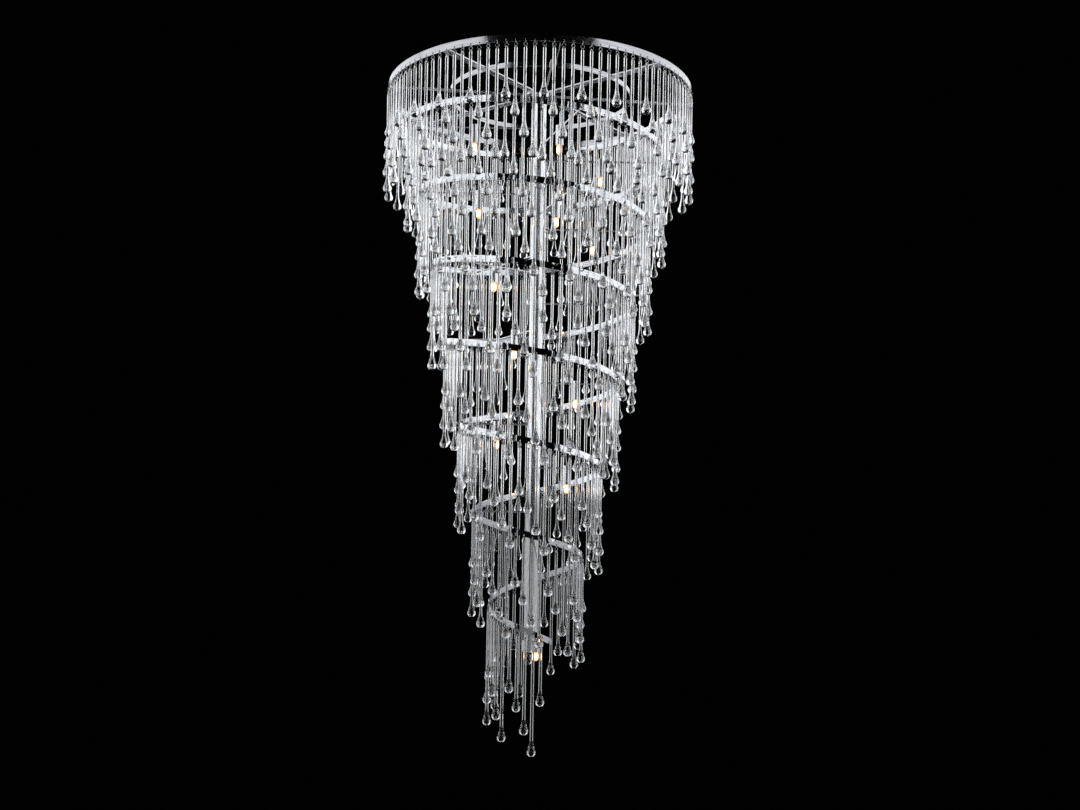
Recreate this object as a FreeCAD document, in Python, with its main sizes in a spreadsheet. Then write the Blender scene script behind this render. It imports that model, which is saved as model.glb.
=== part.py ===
import FreeCAD, Part
import math
import os

from FreeCAD import Placement, Rotation, Vector

# Crystal chandelier: a ceiling ring on flat cross bars, a central column and a band that
# winds down around it, with glass drops on wire rings along every lower edge.
# The ceiling plane is z = 0, the column runs down -Z, and +X is the viewer's right.
doc = FreeCAD.newDocument("crystal_chandelier")

# Driving sizes in millimetres, with angles in degrees
SIZES = (
    ("ring_diameter", 800),
    ("ring_height", 17),
    ("ring_thickness", 2),
    ("ring_stud_diameter", 4),
    ("bar_width", 20),
    ("bar_thickness", 3),
    ("tab_height", 8.5),
    ("long_bar_angle", 52),
    ("side_bar_angle", 7),
    ("half_bar_start", 26),
    ("ceiling_hole_radius", 100),
    ("ceiling_hole_diameter", 5.5),
    ("nut_width", 7),
    ("nut_thickness", 3.2),
    ("hub_plate_diameter", 80),
    ("hub_plate_thickness", 4),
    ("hub_screw_radius", 32),
    ("hub_screw_diameter", 4),
    ("hub_screw_head", 7),
    ("screw_head_height", 2.2),
    ("hub_socket_diameter", 46),
    ("hub_socket_depth", 16),
    ("hub_grub_diameter", 5),
    ("hub_grub_out", 0.5),
    ("inner_ring_radius", 240),
    ("inner_ring_height", 12),
    ("inner_ring_thickness", 2),
    ("inner_ring_pin", 3),
    ("inner_pin_foot", 6),
    ("column_diameter", 36),
    ("column_wall", 2),
    ("column_length", 1442.5),
    ("gland_diameter", 10),
    ("gland_length", 8),
    ("gland_stem", 6.6),
    ("gland_inside", 1),
    ("lead_diameter", 5),
    ("lead_angle", 277),
    ("tail_diameter", 2.4),
    ("connector_start", 262),
    ("connector_length", 28),
    ("connector_width", 15),
    ("connector_height", 12),
    ("connector_edge", 1.5),
    ("connector_below", 7),
    ("spiral_start_radius", 362),
    ("spiral_shrink", 31.2),
    ("spiral_shrink_growth", 1.12),
    ("spiral_drop", 161.5),
    ("spiral_drop_growth", 7.1),
    ("spiral_turns", 6.83),
    ("band_height", 16),
    ("band_thickness", 1.6),
    ("joint_plate_length", 44),
    ("joint_plate_height", 8),
    ("joint_plate_margin", 1.2),
    ("joint_plate_gap", 0.15),
    ("joint_screw_spacing", 26),
    ("joint_screw_diameter", 3),
    ("joint_screw_head", 5.5),
    ("bracket_length", 18),
    ("bracket_leg", 14),
    ("bracket_screw_place", 7.8),
    ("bracket_screw_bite", 1.8),
    ("stay_diameter", 4.5),
    ("stay_collar", 7),
    ("stay_collar_length", 2),
    ("stay_above_centre", 1.5),
    ("stay_reach_in", 5),
    ("cap_nut_diameter", 7.4),
    ("cap_nut_length", 3.4),
    ("cap_nut_play", 0.6),
    ("lamp_place", 0.5),
    ("lamp_tube_diameter", 20),
    ("lamp_tube_length", 50),
    ("lamp_tube_wall", 1.8),
    ("lamp_tube_cap", 13),
    ("lamp_socket_length", 16),
    ("bulb_diameter", 13.5),
    ("bulb_out", 24),
    ("bulb_base_width", 9),
    ("bulb_base_thickness", 4),
    ("bulb_base_top_gap", 3),
    ("lamp_grub_recess", 0.5),
    ("cup_diameter", 47),
    ("cup_height", 25.5),
    ("cup_wall", 2),
    ("plug_neck_length", 12),
    ("plug_flange", 4),
    ("plug_stem_diameter", 6),
    ("cup_nut_diameter", 12),
    ("cup_nut_height", 3),
    ("stem_recess", 1),
    ("hook_hole_diameter", 4),
    ("hook_margin", 3.6),
    ("hook_pitch", 22.4),
    ("wire_diameter", 1.3),
    ("wire_ring_radius", 5.35),
    ("wire_ring_twist", 28),
    ("drop_short", 116),
    ("drop_medium", 156),
    ("drop_long", 206),
    ("drop_longest", 253),
    ("tail_extra", 36),
    ("drop_top_radius", 4.3),
    ("drop_neck_radius", 3.5),
    ("drop_bulb_radius", 12.2),
    ("drop_flare_length", 40),
    ("drop_flat_thickness", 5),
    ("drop_hole_diameter", 3),
    ("drop_bridge", 2),
    ("seat_gap", 0.3),
    ("hang_gap", 0.5),
    ("fit_gap", 0.1),
)
sheet = doc.addObject("Spreadsheet::Sheet", "sizes")
for row, (name, value) in enumerate(SIZES, start=1):
    sheet.set("A%d" % row, name)
    sheet.set("B%d" % row, str(value))
    sheet.setAlias("B%d" % row, name)
doc.recompute()

# Layout of what repeats: counts, and the bearings of the stays counted in turns from +X
RING_SECTIONS = 14
DROPS_IN_SECTION = 8
BAND_JOINT_PLACE = 0.25
STAY_BEARINGS = (0.5, 0.8, 1.0, 1.5, 1.8, 2.0, 2.35, 2.6, 3.0, 3.33, 3.6, 4.0, 4.5, 5.0, 5.5, 6.8)
BARE_STAYS = (2.35, 3.0, 5.5)
TWIST_STEP = 137.5
CUT_PAST = 1
CUTTER_TURN = 45
ORIGIN = Vector(0, 0, 0)
OUT = Vector(1, 0, 0)
UP = Vector(0, 0, 1)
TURN_UP = Rotation(Vector(0, 1, 0), -90)
TURN_OUT = Rotation(Vector(0, 1, 0), 90)
finished = []


def size(name):
    return float(sheet.get(name))


def bind(feature, **expressions):
    """Ties properties of a feature to cells of the sheet."""
    for path, expression in expressions.items():
        feature.setExpression(path.replace("__", "."), expression)
    return feature


def primitive(kind, name, **expressions):
    return bind(doc.addObject("Part::" + kind, name), **expressions)


def cut(name, base, tool):
    feature = doc.addObject("Part::Cut", name)
    feature.Base = base
    feature.Tool = tool
    return feature


def fuse(name, pieces):
    feature = doc.addObject("Part::MultiFuse", name)
    feature.Shapes = pieces
    return feature


def coded(name, shapes):
    """A document object whose shape is worked out here, as one solid or a group of them."""
    feature = doc.addObject("Part::Feature", name)
    feature.Shape = shapes[0] if len(shapes) == 1 else Part.makeCompound(shapes)
    return feature


def finish(feature, label):
    feature.Label = label
    finished.append(feature)
    return feature


def radial(angle):
    return Vector(math.cos(math.radians(angle)), math.sin(math.radians(angle)), 0)


def polar(radius, angle, height):
    return radial(angle) * radius + UP * height


def facing(radius, angle, height):
    """A place whose own X points outwards, whose Y is tangential and whose Z is up."""
    return Placement(polar(radius, angle, height), Rotation(UP, angle))


def placed(shape, placement):
    moved = shape.copy()
    moved.Placement = placement.multiply(moved.Placement)
    return moved


def rod(diameter, start, end):
    axis = end.sub(start)
    return Part.makeCylinder(diameter / 2, axis.Length, start, axis)


def radial_rod(diameter, angle, height, inner, outer):
    return rod(diameter, polar(inner, angle, height), polar(outer, angle, height))


def revolved(edges):
    """A solid of revolution about Z from a closed outline in the XZ plane."""
    return Part.Face(Part.Wire(edges)).revolve(ORIGIN, UP, 360)


def turned(shape, angle):
    return placed(shape, Placement(ORIGIN, Rotation(UP, angle)))


def outline(points):
    corners = [Vector(x, 0, z) for x, z in points]
    pairs = zip(corners, corners[1:] + corners[:1])
    return [Part.LineSegment(first, second).toShape() for first, second in pairs]


def hex_nut(width, thickness, bore):
    """A nut along +X from the origin."""
    flat_to_corner = width / math.sqrt(3)
    corners = [radial(60 * side) * flat_to_corner for side in range(7)]
    body = Part.Face(Part.makePolygon(corners)).extrude(UP * thickness)
    nut = body.cut(Part.makeCylinder(bore / 2, thickness))
    return placed(nut, Placement(ORIGIN, TURN_OUT))


def button_screw(diameter, length, head_diameter, head_height):
    """A screw whose shank runs along +X from the underside of its head at the origin."""
    shank = Part.makeCylinder(diameter / 2, length, ORIGIN, OUT)
    head = Part.makeCylinder(head_diameter / 2, head_height, OUT * -head_height, OUT)
    return head.fuse(shank).removeSplitter()


# Spiral: its radius, height and angle at a number of turns from its upper end
def spiral_radius(turns):
    shrink = size("spiral_shrink") * turns + size("spiral_shrink_growth") * turns ** 2
    return size("spiral_start_radius") - shrink


def spiral_height(turns):
    start = size("bar_thickness") + size("seat_gap") + size("band_height") / 2
    return -start - size("spiral_drop") * turns - size("spiral_drop_growth") * turns ** 2


def spiral_angle(turns):
    """The band starts half a bracket before the side bar, so that the bracket lies under the bar."""
    half_bracket = size("bracket_length") / 2 / size("spiral_start_radius")
    return size("side_bar_angle") - math.degrees(half_bracket) + 360 * turns


def spiral_point(turns, outwards, upwards):
    radius = spiral_radius(turns) + outwards
    return polar(radius, spiral_angle(turns), spiral_height(turns) + upwards)


def strip(start, end, outwards, thickness, bottom, top):
    """A flat strip on edge that follows the spiral, between two offsets from its centre line."""
    spans = math.ceil(4 * (end - start))
    steps = 9 * spans
    places = [start + (end - start) * step / steps for step in range(steps + 1)]
    inner, outer = outwards - thickness / 2, outwards + thickness / 2
    corners = ((inner, bottom), (outer, bottom), (outer, top), (inner, top))
    rails = []
    for side, level in corners:
        curve = Part.BSplineCurve()
        curve.interpolate([spiral_point(place, side, level) for place in places])
        cuts = [curve.FirstParameter + (curve.LastParameter - curve.FirstParameter) * span / spans
                for span in range(spans + 1)]
        rails.append([curve.toShape(first, last) for first, last in zip(cuts, cuts[1:])])
    faces = [Part.makeRuledSurface(first, second)
             for side in range(4) for first, second in zip(rails[side], rails[(side + 1) % 4])]
    for place in (start, end):
        points = [spiral_point(place, side, level) for side, level in corners]
        faces.append(Part.Face(Part.makePolygon(points + points[:1])))
    shell = Part.Shell(faces)
    shell.sewShape()
    solid = Part.Solid(shell)
    if solid.Volume < 0:
        solid.reverse()
    return solid


def hook_turns():
    """Places of the drops along the spiral, a pitch apart measured along the band."""
    places = []
    turns = size("bracket_length") / (2 * math.pi * spiral_radius(0))
    end_length = 2 * math.pi * spiral_radius(size("spiral_turns"))
    last = size("spiral_turns") - size("hook_pitch") / 2 / end_length
    while turns < last:
        places.append(turns)
        fall = size("spiral_drop") + 2 * size("spiral_drop_growth") * turns
        turns += size("hook_pitch") / math.hypot(2 * math.pi * spiral_radius(turns), fall)
    return places


def bearing_turns(bearing):
    """Turns along the band at a bearing counted in turns from +X."""
    return bearing - spiral_angle(0) / 360


spiral_hooks = hook_turns()
stay_places = [bearing_turns(bearing) for bearing in STAY_BEARINGS]
lamp_places = [bearing_turns(bearing) for bearing in STAY_BEARINGS if bearing not in BARE_STAYS]


def band_joint(number):
    """A joint of the band, halfway between the two drops nearest to its place."""
    after = [turns for turns in spiral_hooks if turns > number + BAND_JOINT_PLACE]
    before = [turns for turns in spiral_hooks if turns <= number + BAND_JOINT_PLACE]
    return (before[-1] + after[0]) / 2


band_joints = [band_joint(number) for number in range(1, int(size("spiral_turns") - BAND_JOINT_PLACE) + 1)]
band_ends = [0.0] + band_joints + [size("spiral_turns")]

# Hanging wire rings and drops: heights are counted down from the centre of the hook hole
wire_radius = size("wire_diameter") / 2
wire_in_hole = size("hook_hole_diameter") / 2 - wire_radius - size("seat_gap")
wire_ring_centre = -wire_in_hole - size("wire_ring_radius")
wire_ring_bottom = wire_ring_centre - size("wire_ring_radius")
wire_inner = size("wire_ring_radius") - wire_radius
flat_half = size("drop_flat_thickness") / 2
wire_rise = wire_inner - math.sqrt(wire_inner ** 2 - flat_half ** 2)
drop_hole_height = (wire_ring_bottom + wire_radius + wire_rise + size("hang_gap")
                    - size("drop_hole_diameter") / 2)
DROP_SIZES = ("drop_short", "drop_medium", "drop_long", "drop_longest")


def wire_ring():
    """One wire ring in the XZ plane, about the centre of the hook hole."""
    centre = Vector(0, 0, wire_ring_centre)
    return Part.makeTorus(size("wire_ring_radius"), wire_radius, centre, Vector(0, 1, 0))


def glass_drop(length):
    """A solid glass teardrop hung from a cross hole at the origin, with two flats beside the hole."""
    top_radius = size("drop_top_radius")
    neck = size("drop_neck_radius")
    bulb = size("drop_bulb_radius")
    flare = size("drop_flare_length")
    top = size("drop_hole_diameter") / 2 + size("drop_bridge")
    shoulder = top - top_radius
    flare_radius = ((flare ** 2) / (bulb - neck) - bulb - neck) / 2
    to_flare = Vector(neck + flare_radius, 0, flare).normalize()
    bulb_centre = Vector(0, 0, -length)
    tangent = bulb_centre + to_flare * bulb
    flare_centre = Vector(neck + flare_radius, 0, flare - length)
    on_flare = flare_centre + (OUT * -1 - to_flare).normalize() * flare_radius
    below_tangent = (math.atan2(to_flare.z, to_flare.x) - math.pi / 2) / 2
    on_bulb = bulb_centre + Vector(math.cos(below_tangent), 0, math.sin(below_tangent)) * bulb
    on_dome = Vector(math.sqrt(0.5) * top_radius, 0, shoulder + math.sqrt(0.5) * top_radius)
    top_end = UP * top
    dome_end = Vector(top_radius, 0, shoulder)
    rod_end = Vector(neck, 0, flare - length)
    bulb_end = bulb_centre - UP * bulb
    drop = revolved([
        Part.Arc(top_end, on_dome, dome_end).toShape(),
        Part.LineSegment(dome_end, rod_end).toShape(),
        Part.Arc(rod_end, on_flare, tangent).toShape(),
        Part.Arc(tangent, on_bulb, bulb_end).toShape(),
        Part.LineSegment(bulb_end, top_end).toShape(),
    ])
    flat_height = top - shoulder + size("drop_hole_diameter")
    for side in (-1, 1):
        block = Part.makeBox(top_radius, 4 * top_radius, 2 * flat_height)
        block.translate(Vector(flat_half if side > 0 else -flat_half - top_radius, -2 * top_radius,
                               top - flat_height))
        drop = drop.cut(block)
    hole = rod(size("drop_hole_diameter"), OUT * -top_radius, OUT * top_radius)
    return drop.cut(hole)


drop_shapes = [glass_drop(size(name)) for name in DROP_SIZES]
tail_shapes = [glass_drop(size(name) + size("tail_extra")) for name in DROP_SIZES]
one_wire_ring = wire_ring()


def hook_place(number, radius, angle, height):
    """The hook hole's place, with the wire ring's own small twist about the vertical."""
    twist = size("wire_ring_twist") * math.sin(math.radians(TWIST_STEP * number))
    return Placement(polar(radius, angle, height), Rotation(UP, angle + twist))


def hung_drop(shapes, number, place):
    below = Placement(UP * drop_hole_height, Rotation())
    return placed(shapes[number % len(shapes)], place.multiply(below))


# Outer ring: a band with a hole for each wire ring and a welded stud for each end of a bar
ring_radius = size("ring_diameter") / 2
ring_inner = ring_radius - size("ring_thickness")
ring_mean = ring_radius - size("ring_thickness") / 2
tab_inner = ring_inner - size("seat_gap") - size("bar_thickness")
stud_height = -(size("bar_thickness") + size("tab_height") / 2)
bar_angles = [size("long_bar_angle"), size("long_bar_angle") + 180,
              size("side_bar_angle"), size("side_bar_angle") + 180,
              size("long_bar_angle") + 90, size("long_bar_angle") - 90]
ring_hook_height = -size("ring_height") + size("hook_margin")
ring_drops = RING_SECTIONS * DROPS_IN_SECTION
ring_hook_angles = [360 * (number + 0.5) / ring_drops for number in range(ring_drops)]
ring_outside = primitive("Cylinder", "ring_outside", Radius="sizes.ring_diameter / 2",
                         Height="sizes.ring_height", Placement__Base__z="-sizes.ring_height")
ring_inside = primitive("Cylinder", "ring_inside", Radius="sizes.ring_diameter / 2 - sizes.ring_thickness",
                        Height="sizes.ring_height", Placement__Base__z="-sizes.ring_height")
ring_band = cut("ring_band", ring_outside, ring_inside)
ring_studs = coded("ring_studs", [
    radial_rod(size("ring_stud_diameter"), angle, stud_height,
               tab_inner - size("nut_thickness") - size("fit_gap") - CUT_PAST, ring_mean)
    for angle in bar_angles])
ring_holes = coded("ring_holes", [
    radial_rod(size("hook_hole_diameter"), angle, ring_hook_height,
               ring_inner - size("ring_thickness"), ring_radius + size("ring_thickness"))
    for angle in ring_hook_angles])
finish(cut("ring", fuse("ring_with_studs", [ring_band, ring_studs]), ring_holes), "outer_ring")


# Cross bars: flat bars against the ceiling whose ends turn down inside the ring
def bar_half(start):
    """Half of a cross bar along +X, from a start radius to its down-turned tab."""
    width, thickness = size("bar_width"), size("bar_thickness")
    end = tab_inner + thickness
    flat = Part.makeBox(end - start, width, thickness, Vector(start, -width / 2, -thickness))
    tab = Part.makeBox(thickness, width, size("tab_height"),
                       Vector(tab_inner, -width / 2, -thickness - size("tab_height")))
    half = flat.fuse(tab).removeSplitter()
    screw_place = OUT * size("hub_screw_radius")
    stud_place = OUT * tab_inner + UP * stud_height
    cutters = [
        rod(size("ring_stud_diameter") + 2 * size("fit_gap"), stud_place - OUT * CUT_PAST,
            stud_place + OUT * (thickness + CUT_PAST)),
        rod(size("hub_screw_diameter") + 2 * size("fit_gap"), screw_place - UP * thickness,
            screw_place - UP * (thickness - hub_screw_bite - size("fit_gap"))),
        bar_hole(size("inner_ring_pin") + 2 * size("fit_gap"), size("inner_ring_radius")),
    ]
    return half.cut(cutters)


def bar_hole(diameter, radius):
    """A cutter through the thickness of a bar that lies along +X."""
    place = OUT * radius
    return rod(diameter, place - UP * (size("bar_thickness") + CUT_PAST), place + UP * CUT_PAST)


hub_screw_bite = size("bar_thickness") / 2
ceiling_hole = bar_hole(size("ceiling_hole_diameter"), size("ceiling_hole_radius"))
bracket_turns = size("bracket_length") / 2 / (2 * math.pi * size("spiral_start_radius"))
bracket_inner = spiral_radius(bracket_turns) - size("band_thickness") / 2 - size("seat_gap")
bracket_top = -size("bar_thickness") - size("fit_gap")
flat_screw_radius = bracket_inner - size("bracket_screw_place")
joint_hole = size("joint_screw_diameter") + size("fit_gap")
plain_half = bar_half(size("half_bar_start"))
bracket_screw_place = OUT * flat_screw_radius + UP * bracket_top
bracket_bite = size("bracket_screw_bite") + size("fit_gap")
bracket_half = plain_half.cut(rod(joint_hole, bracket_screw_place, bracket_screw_place + UP * bracket_bite))
drilled_half = plain_half.cut(ceiling_hole)
long_half = bar_half(0).cut(ceiling_hole)
long_bar = turned(long_half, bar_angles[0]).fuse(turned(long_half, bar_angles[1])).removeSplitter()
finish(coded("long_bar", [long_bar]), "long_cross_bar")
finish(coded("side_bars", [turned(bracket_half, bar_angles[2]), turned(plain_half, bar_angles[3])]),
       "side_cross_bars")
finish(coded("square_bars", [turned(drilled_half, angle) for angle in bar_angles[4:6]]),
       "square_cross_bars")
stud_nut = hex_nut(size("nut_width"), size("nut_thickness"), size("ring_stud_diameter") + size("fit_gap"))
finish(coded("stud_nuts", [
    placed(stud_nut, facing(tab_inner - size("nut_thickness"), angle, stud_height))
    for angle in bar_angles]), "bar_end_nuts")

# Inner ring: a band under the bars, riveted into them by one pin at each crossing
inner_top = -size("bar_thickness")
inner_ring_outside = primitive(
    "Cylinder", "inner_ring_outside", Radius="sizes.inner_ring_radius + sizes.inner_ring_thickness / 2",
    Height="sizes.inner_ring_height", Placement__Base__z="-sizes.bar_thickness - sizes.inner_ring_height")
inner_ring_inside = primitive(
    "Cylinder", "inner_ring_inside", Radius="sizes.inner_ring_radius - sizes.inner_ring_thickness / 2",
    Height="sizes.inner_ring_height", Placement__Base__z="-sizes.bar_thickness - sizes.inner_ring_height")
inner_band = cut("inner_band", inner_ring_outside, inner_ring_inside)
inner_pins = coded("inner_pins", [
    rod(size("inner_ring_pin"), polar(size("inner_ring_radius"), angle, inner_top - size("inner_pin_foot")),
        polar(size("inner_ring_radius"), angle, -size("seat_gap")))
    for angle in bar_angles])
finish(fuse("inner_ring_body", [inner_band, inner_pins]), "inner_ring")

# Hub: a round plate screwed under the bars, with a socket that takes the column
hub_top = -size("bar_thickness")
hub_face = hub_top - size("hub_plate_thickness")
socket_bottom = hub_face - size("hub_socket_depth")
socket_middle = (hub_face + socket_bottom) / 2
hub_plate = primitive(
    "Cylinder", "hub_plate", Radius="sizes.hub_plate_diameter / 2", Height="sizes.hub_plate_thickness",
    Placement__Base__z="-sizes.bar_thickness - sizes.hub_plate_thickness")
hub_socket = primitive(
    "Cylinder", "hub_socket", Radius="sizes.hub_socket_diameter / 2",
    Height="sizes.hub_socket_depth + sizes.hub_plate_thickness",
    Placement__Base__z="-sizes.bar_thickness - sizes.hub_plate_thickness - sizes.hub_socket_depth")
hub_bore = primitive(
    "Cylinder", "hub_bore", Radius="sizes.column_diameter / 2 + sizes.fit_gap",
    Height="sizes.hub_socket_depth",
    Placement__Base__z="-sizes.bar_thickness - sizes.hub_plate_thickness - sizes.hub_socket_depth")
grub_angles = [size("long_bar_angle"), size("long_bar_angle") + 180]
hub_cutters = [
    rod(size("hub_screw_diameter") + 2 * size("fit_gap"),
        polar(size("hub_screw_radius"), angle, hub_face - CUT_PAST),
        polar(size("hub_screw_radius"), angle, hub_top + CUT_PAST))
    for angle in bar_angles]
hub_cutters += [
    radial_rod(size("hub_grub_diameter") + 2 * size("fit_gap"), angle, socket_middle,
               size("column_diameter") / 2 - CUT_PAST, size("hub_socket_diameter") / 2 + CUT_PAST)
    for angle in grub_angles]
hub_cutters.append(radial_rod(size("gland_stem") + 2 * size("fit_gap"), size("lead_angle"), socket_middle,
                              size("column_diameter") / 2 - CUT_PAST,
                              size("hub_socket_diameter") / 2 + CUT_PAST))
hub_blank = cut("hub_blank", fuse("hub_blocks", [hub_plate, hub_socket]), hub_bore)
finish(cut("hub_body", hub_blank, coded("hub_holes", hub_cutters)), "hub")
hub_screw = button_screw(size("hub_screw_diameter"), size("hub_plate_thickness") + hub_screw_bite,
                         size("hub_screw_head"), size("screw_head_height"))
finish(coded("plate_screws", [
    placed(hub_screw, Placement(polar(size("hub_screw_radius"), angle, hub_face), TURN_UP))
    for angle in bar_angles]), "hub_screws")
grub_inner = size("column_diameter") / 2 + size("fit_gap")
finish(coded("grub_screws", [
    radial_rod(size("hub_grub_diameter"), angle, socket_middle, grub_inner,
               size("hub_socket_diameter") / 2 + size("hub_grub_out"))
    for angle in grub_angles]), "hub_grub_screws")

# Column: one tube from the hub to the cup, drilled where the stays enter it
column_bottom = hub_face - size("column_length")
column_inner = size("column_diameter") / 2 - size("column_wall")
column_outside = primitive(
    "Cylinder", "column_outside", Radius="sizes.column_diameter / 2", Height="sizes.column_length",
    Placement__Base__z="-sizes.bar_thickness - sizes.hub_plate_thickness - sizes.column_length")
column_inside = primitive(
    "Cylinder", "column_inside", Radius="sizes.column_diameter / 2 - sizes.column_wall",
    Height="sizes.column_length",
    Placement__Base__z="-sizes.bar_thickness - sizes.hub_plate_thickness - sizes.column_length")


def stay_height(turns):
    return spiral_height(turns) + size("stay_above_centre")


stay_hole = size("stay_diameter") + 2 * size("fit_gap")
column_holes = [
    radial_rod(stay_hole, spiral_angle(turns), stay_height(turns), column_inner - CUT_PAST,
               size("column_diameter") / 2 + CUT_PAST)
    for turns in stay_places]
column_holes.append(radial_rod(size("gland_stem") + 2 * size("fit_gap"), size("lead_angle"), socket_middle,
                               column_inner - CUT_PAST, size("column_diameter") / 2 + CUT_PAST))
finish(cut("column_body", cut("column_tube", column_outside, column_inside),
           coded("column_drilling", column_holes)), "central_column")


# Supply lead: it leaves the hub through a gland and ends in a connector with two loose tails
def cord(points, diameter):
    """A round tube along straight runs joined by tangent arcs, each as large as its runs allow."""
    edges = []
    start = points[0]
    least_radius = None
    for before, corner, after in zip(points, points[1:], points[2:]):
        arriving = corner.sub(before)
        leaving = after.sub(corner)
        reach = 0.45 * min(arriving.Length, leaving.Length)
        turn = arriving.getAngle(leaving)
        radius = reach / math.tan(turn / 2)
        least_radius = radius if least_radius is None else min(radius, least_radius)
        arriving.normalize()
        leaving.normalize()
        first = corner - arriving * reach
        last = corner + leaving * reach
        towards = (leaving - arriving).normalize()
        middle = corner + towards * (radius / math.cos(turn / 2) - radius)
        edges.append(Part.LineSegment(start, first).toShape())
        edges.append(Part.Arc(first, middle, last).toShape())
        start = last
    edges.append(Part.LineSegment(start, points[-1]).toShape())
    path = Part.Wire(edges)
    section = Part.Wire(Part.makeCircle(diameter / 2, points[0], points[1].sub(points[0])))
    tube = path.makePipeShell([section], True, False)
    expected = math.pi * diameter ** 2 / 4 * path.Length
    print("cord of length %.1f: least radius %.1f, volume ratio %.4f"
          % (path.Length, least_radius, tube.Volume / expected))
    return tube


def lead_point(out, sideways, height):
    return facing(0, size("lead_angle"), 0).multVec(Vector(out, sideways, height))


gland_outer = size("hub_socket_diameter") / 2 + size("fit_gap")
gland = radial_rod(size("gland_diameter"), size("lead_angle"), socket_middle, gland_outer,
                   gland_outer + size("gland_length"))
gland = gland.fuse(radial_rod(size("gland_stem"), size("lead_angle"), socket_middle,
                              column_inner - size("gland_inside"), gland_outer + 1)).removeSplitter()
gland = gland.cut(radial_rod(size("lead_diameter") + 2 * size("fit_gap"), size("lead_angle"), socket_middle,
                             0, gland_outer + 2 * size("gland_length")))
finish(coded("gland", [gland]), "cable_gland")
lead_start = column_inner - 2 * size("gland_inside")
connector_height = socket_middle - size("connector_below")
lead_route = [
    lead_point(lead_start, 0, socket_middle),
    lead_point(lead_start + 42, 0, socket_middle),
    lead_point(lead_start + 92, 3, socket_middle - 4),
    lead_point(lead_start + 150, 1, socket_middle - 8),
    lead_point(lead_start + 204, -3, connector_height - 0.5),
    lead_point(size("connector_start"), -2, connector_height),
]
finish(coded("lead", [cord(lead_route, size("lead_diameter"))]), "supply_lead")
connector = Part.makeBox(size("connector_length"), size("connector_width"), size("connector_height"),
                         Vector(0, -size("connector_width") / 2, -size("connector_height") / 2))
connector = connector.makeFillet(size("connector_edge"), connector.Edges)
connector_end = size("connector_start") + size("connector_length")
connector_place = Placement(lead_point(size("connector_start"), -2, connector_height),
                            Rotation(UP, size("lead_angle")))
finish(coded("connector", [placed(connector, connector_place)]), "lead_connector")
tail_gap = size("connector_width") / 4
finish(coded("tails", [
    cord([lead_point(connector_end, side * tail_gap - 2, connector_height),
          lead_point(connector_end + 16, side * tail_gap - 2 + 0.6 * side, connector_height + 0.8),
          lead_point(connector_end + 36, side * (tail_gap + 2) - 2, connector_height + 6.4),
          lead_point(connector_end + 54, side * (tail_gap + 4) - 3, connector_height + 14.4),
          lead_point(connector_end + 62, side * (tail_gap + 5) - 4, -size("tail_diameter") / 2)],
         size("tail_diameter"))
    for side in (-1, 1)]), "lead_tails")

# Spiral band: seven lengths end to end, with holes for the wire rings, stays and joint screws
half_band = size("band_height") / 2
hook_below_centre = half_band - size("hook_margin")
plate_top = half_band - size("joint_plate_margin")
plate_bottom = plate_top - size("joint_plate_height")
joint_screw_height = (plate_top + plate_bottom) / 2
plate_outwards = -size("band_thickness") - size("joint_plate_gap")


def along(length, turns):
    """A length along the band as a share of a turn."""
    return length / (2 * math.pi * spiral_radius(turns))


def joint_screw_turns(joint):
    shift = along(size("joint_screw_spacing") / 2, joint)
    return [joint - shift, joint + shift]


def through_band(turns, upwards, diameter):
    """A place in turns with a cutter through the band there, and through a plate behind it.

    The cutter is turned about its own axis, which keeps the seam of its round face off the
    level and the upright lines of the band.
    """
    radius, angle = spiral_radius(turns), spiral_angle(turns)
    height = spiral_height(turns) + upwards
    reach = 2 * size("band_thickness") + size("joint_plate_gap")
    cutter = radial_rod(diameter, angle, height, radius - reach, radius + reach)
    cutter.rotate(polar(radius, angle, height), radial(angle), CUTTER_TURN)
    return turns, cutter


def seat_lift(turns, radius):
    """How far the band, which curves and nears the column, comes out of true under a round seat."""
    shrink = size("spiral_shrink") + 2 * size("spiral_shrink_growth") * turns
    slope = shrink / (2 * math.pi * spiral_radius(turns))
    return slope * radius + radius ** 2 / (2 * spiral_radius(turns))


band_cutters = [through_band(turns, -hook_below_centre, size("hook_hole_diameter")) for turns in spiral_hooks]
band_cutters += [through_band(turns, size("stay_above_centre"), stay_hole) for turns in stay_places]
band_cutters += [through_band(turns, joint_screw_height, joint_hole)
                 for joint in band_joints for turns in joint_screw_turns(joint)]
band_cutters.append(through_band(bracket_turns, 0, joint_hole))
for number, (start, end) in enumerate(zip(band_ends, band_ends[1:]), start=1):
    clearance = along(size("fit_gap"), start)
    first = start + (clearance if number > 1 else 0)
    length = strip(first, end, 0, size("band_thickness"), -half_band, half_band)
    length = length.cut([tool for turns, tool in band_cutters if first < turns < end])
    finish(coded("band_%d" % number, length.Solids), "spiral_band_turn_%d" % number)

# Joint plates: a short curved plate behind each joint of the band, with two screws
plates = []
for joint in band_joints:
    shift = along(size("joint_plate_length") / 2, joint)
    plate = strip(joint - shift, joint + shift, plate_outwards, size("band_thickness"),
                  plate_bottom, plate_top)
    plates.append(plate.cut([tool for turns, tool in band_cutters if abs(turns - joint) < shift]))
finish(coded("plates", plates), "band_joint_plates")
joint_screw = button_screw(size("joint_screw_diameter"),
                           2.5 * size("band_thickness") + size("joint_plate_gap"),
                           size("joint_screw_head"), size("screw_head_height"))


def inward_screw(screw, turns, upwards):
    """A screw from outside the band, its head just clear of the outer face."""
    lift = size("fit_gap") + seat_lift(turns, size("joint_screw_head") / 2)
    radius = spiral_radius(turns) + size("band_thickness") / 2 + lift
    place = facing(radius, spiral_angle(turns), spiral_height(turns) + upwards)
    return placed(screw, place.multiply(Placement(ORIGIN, Rotation(UP, 180))))


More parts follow.
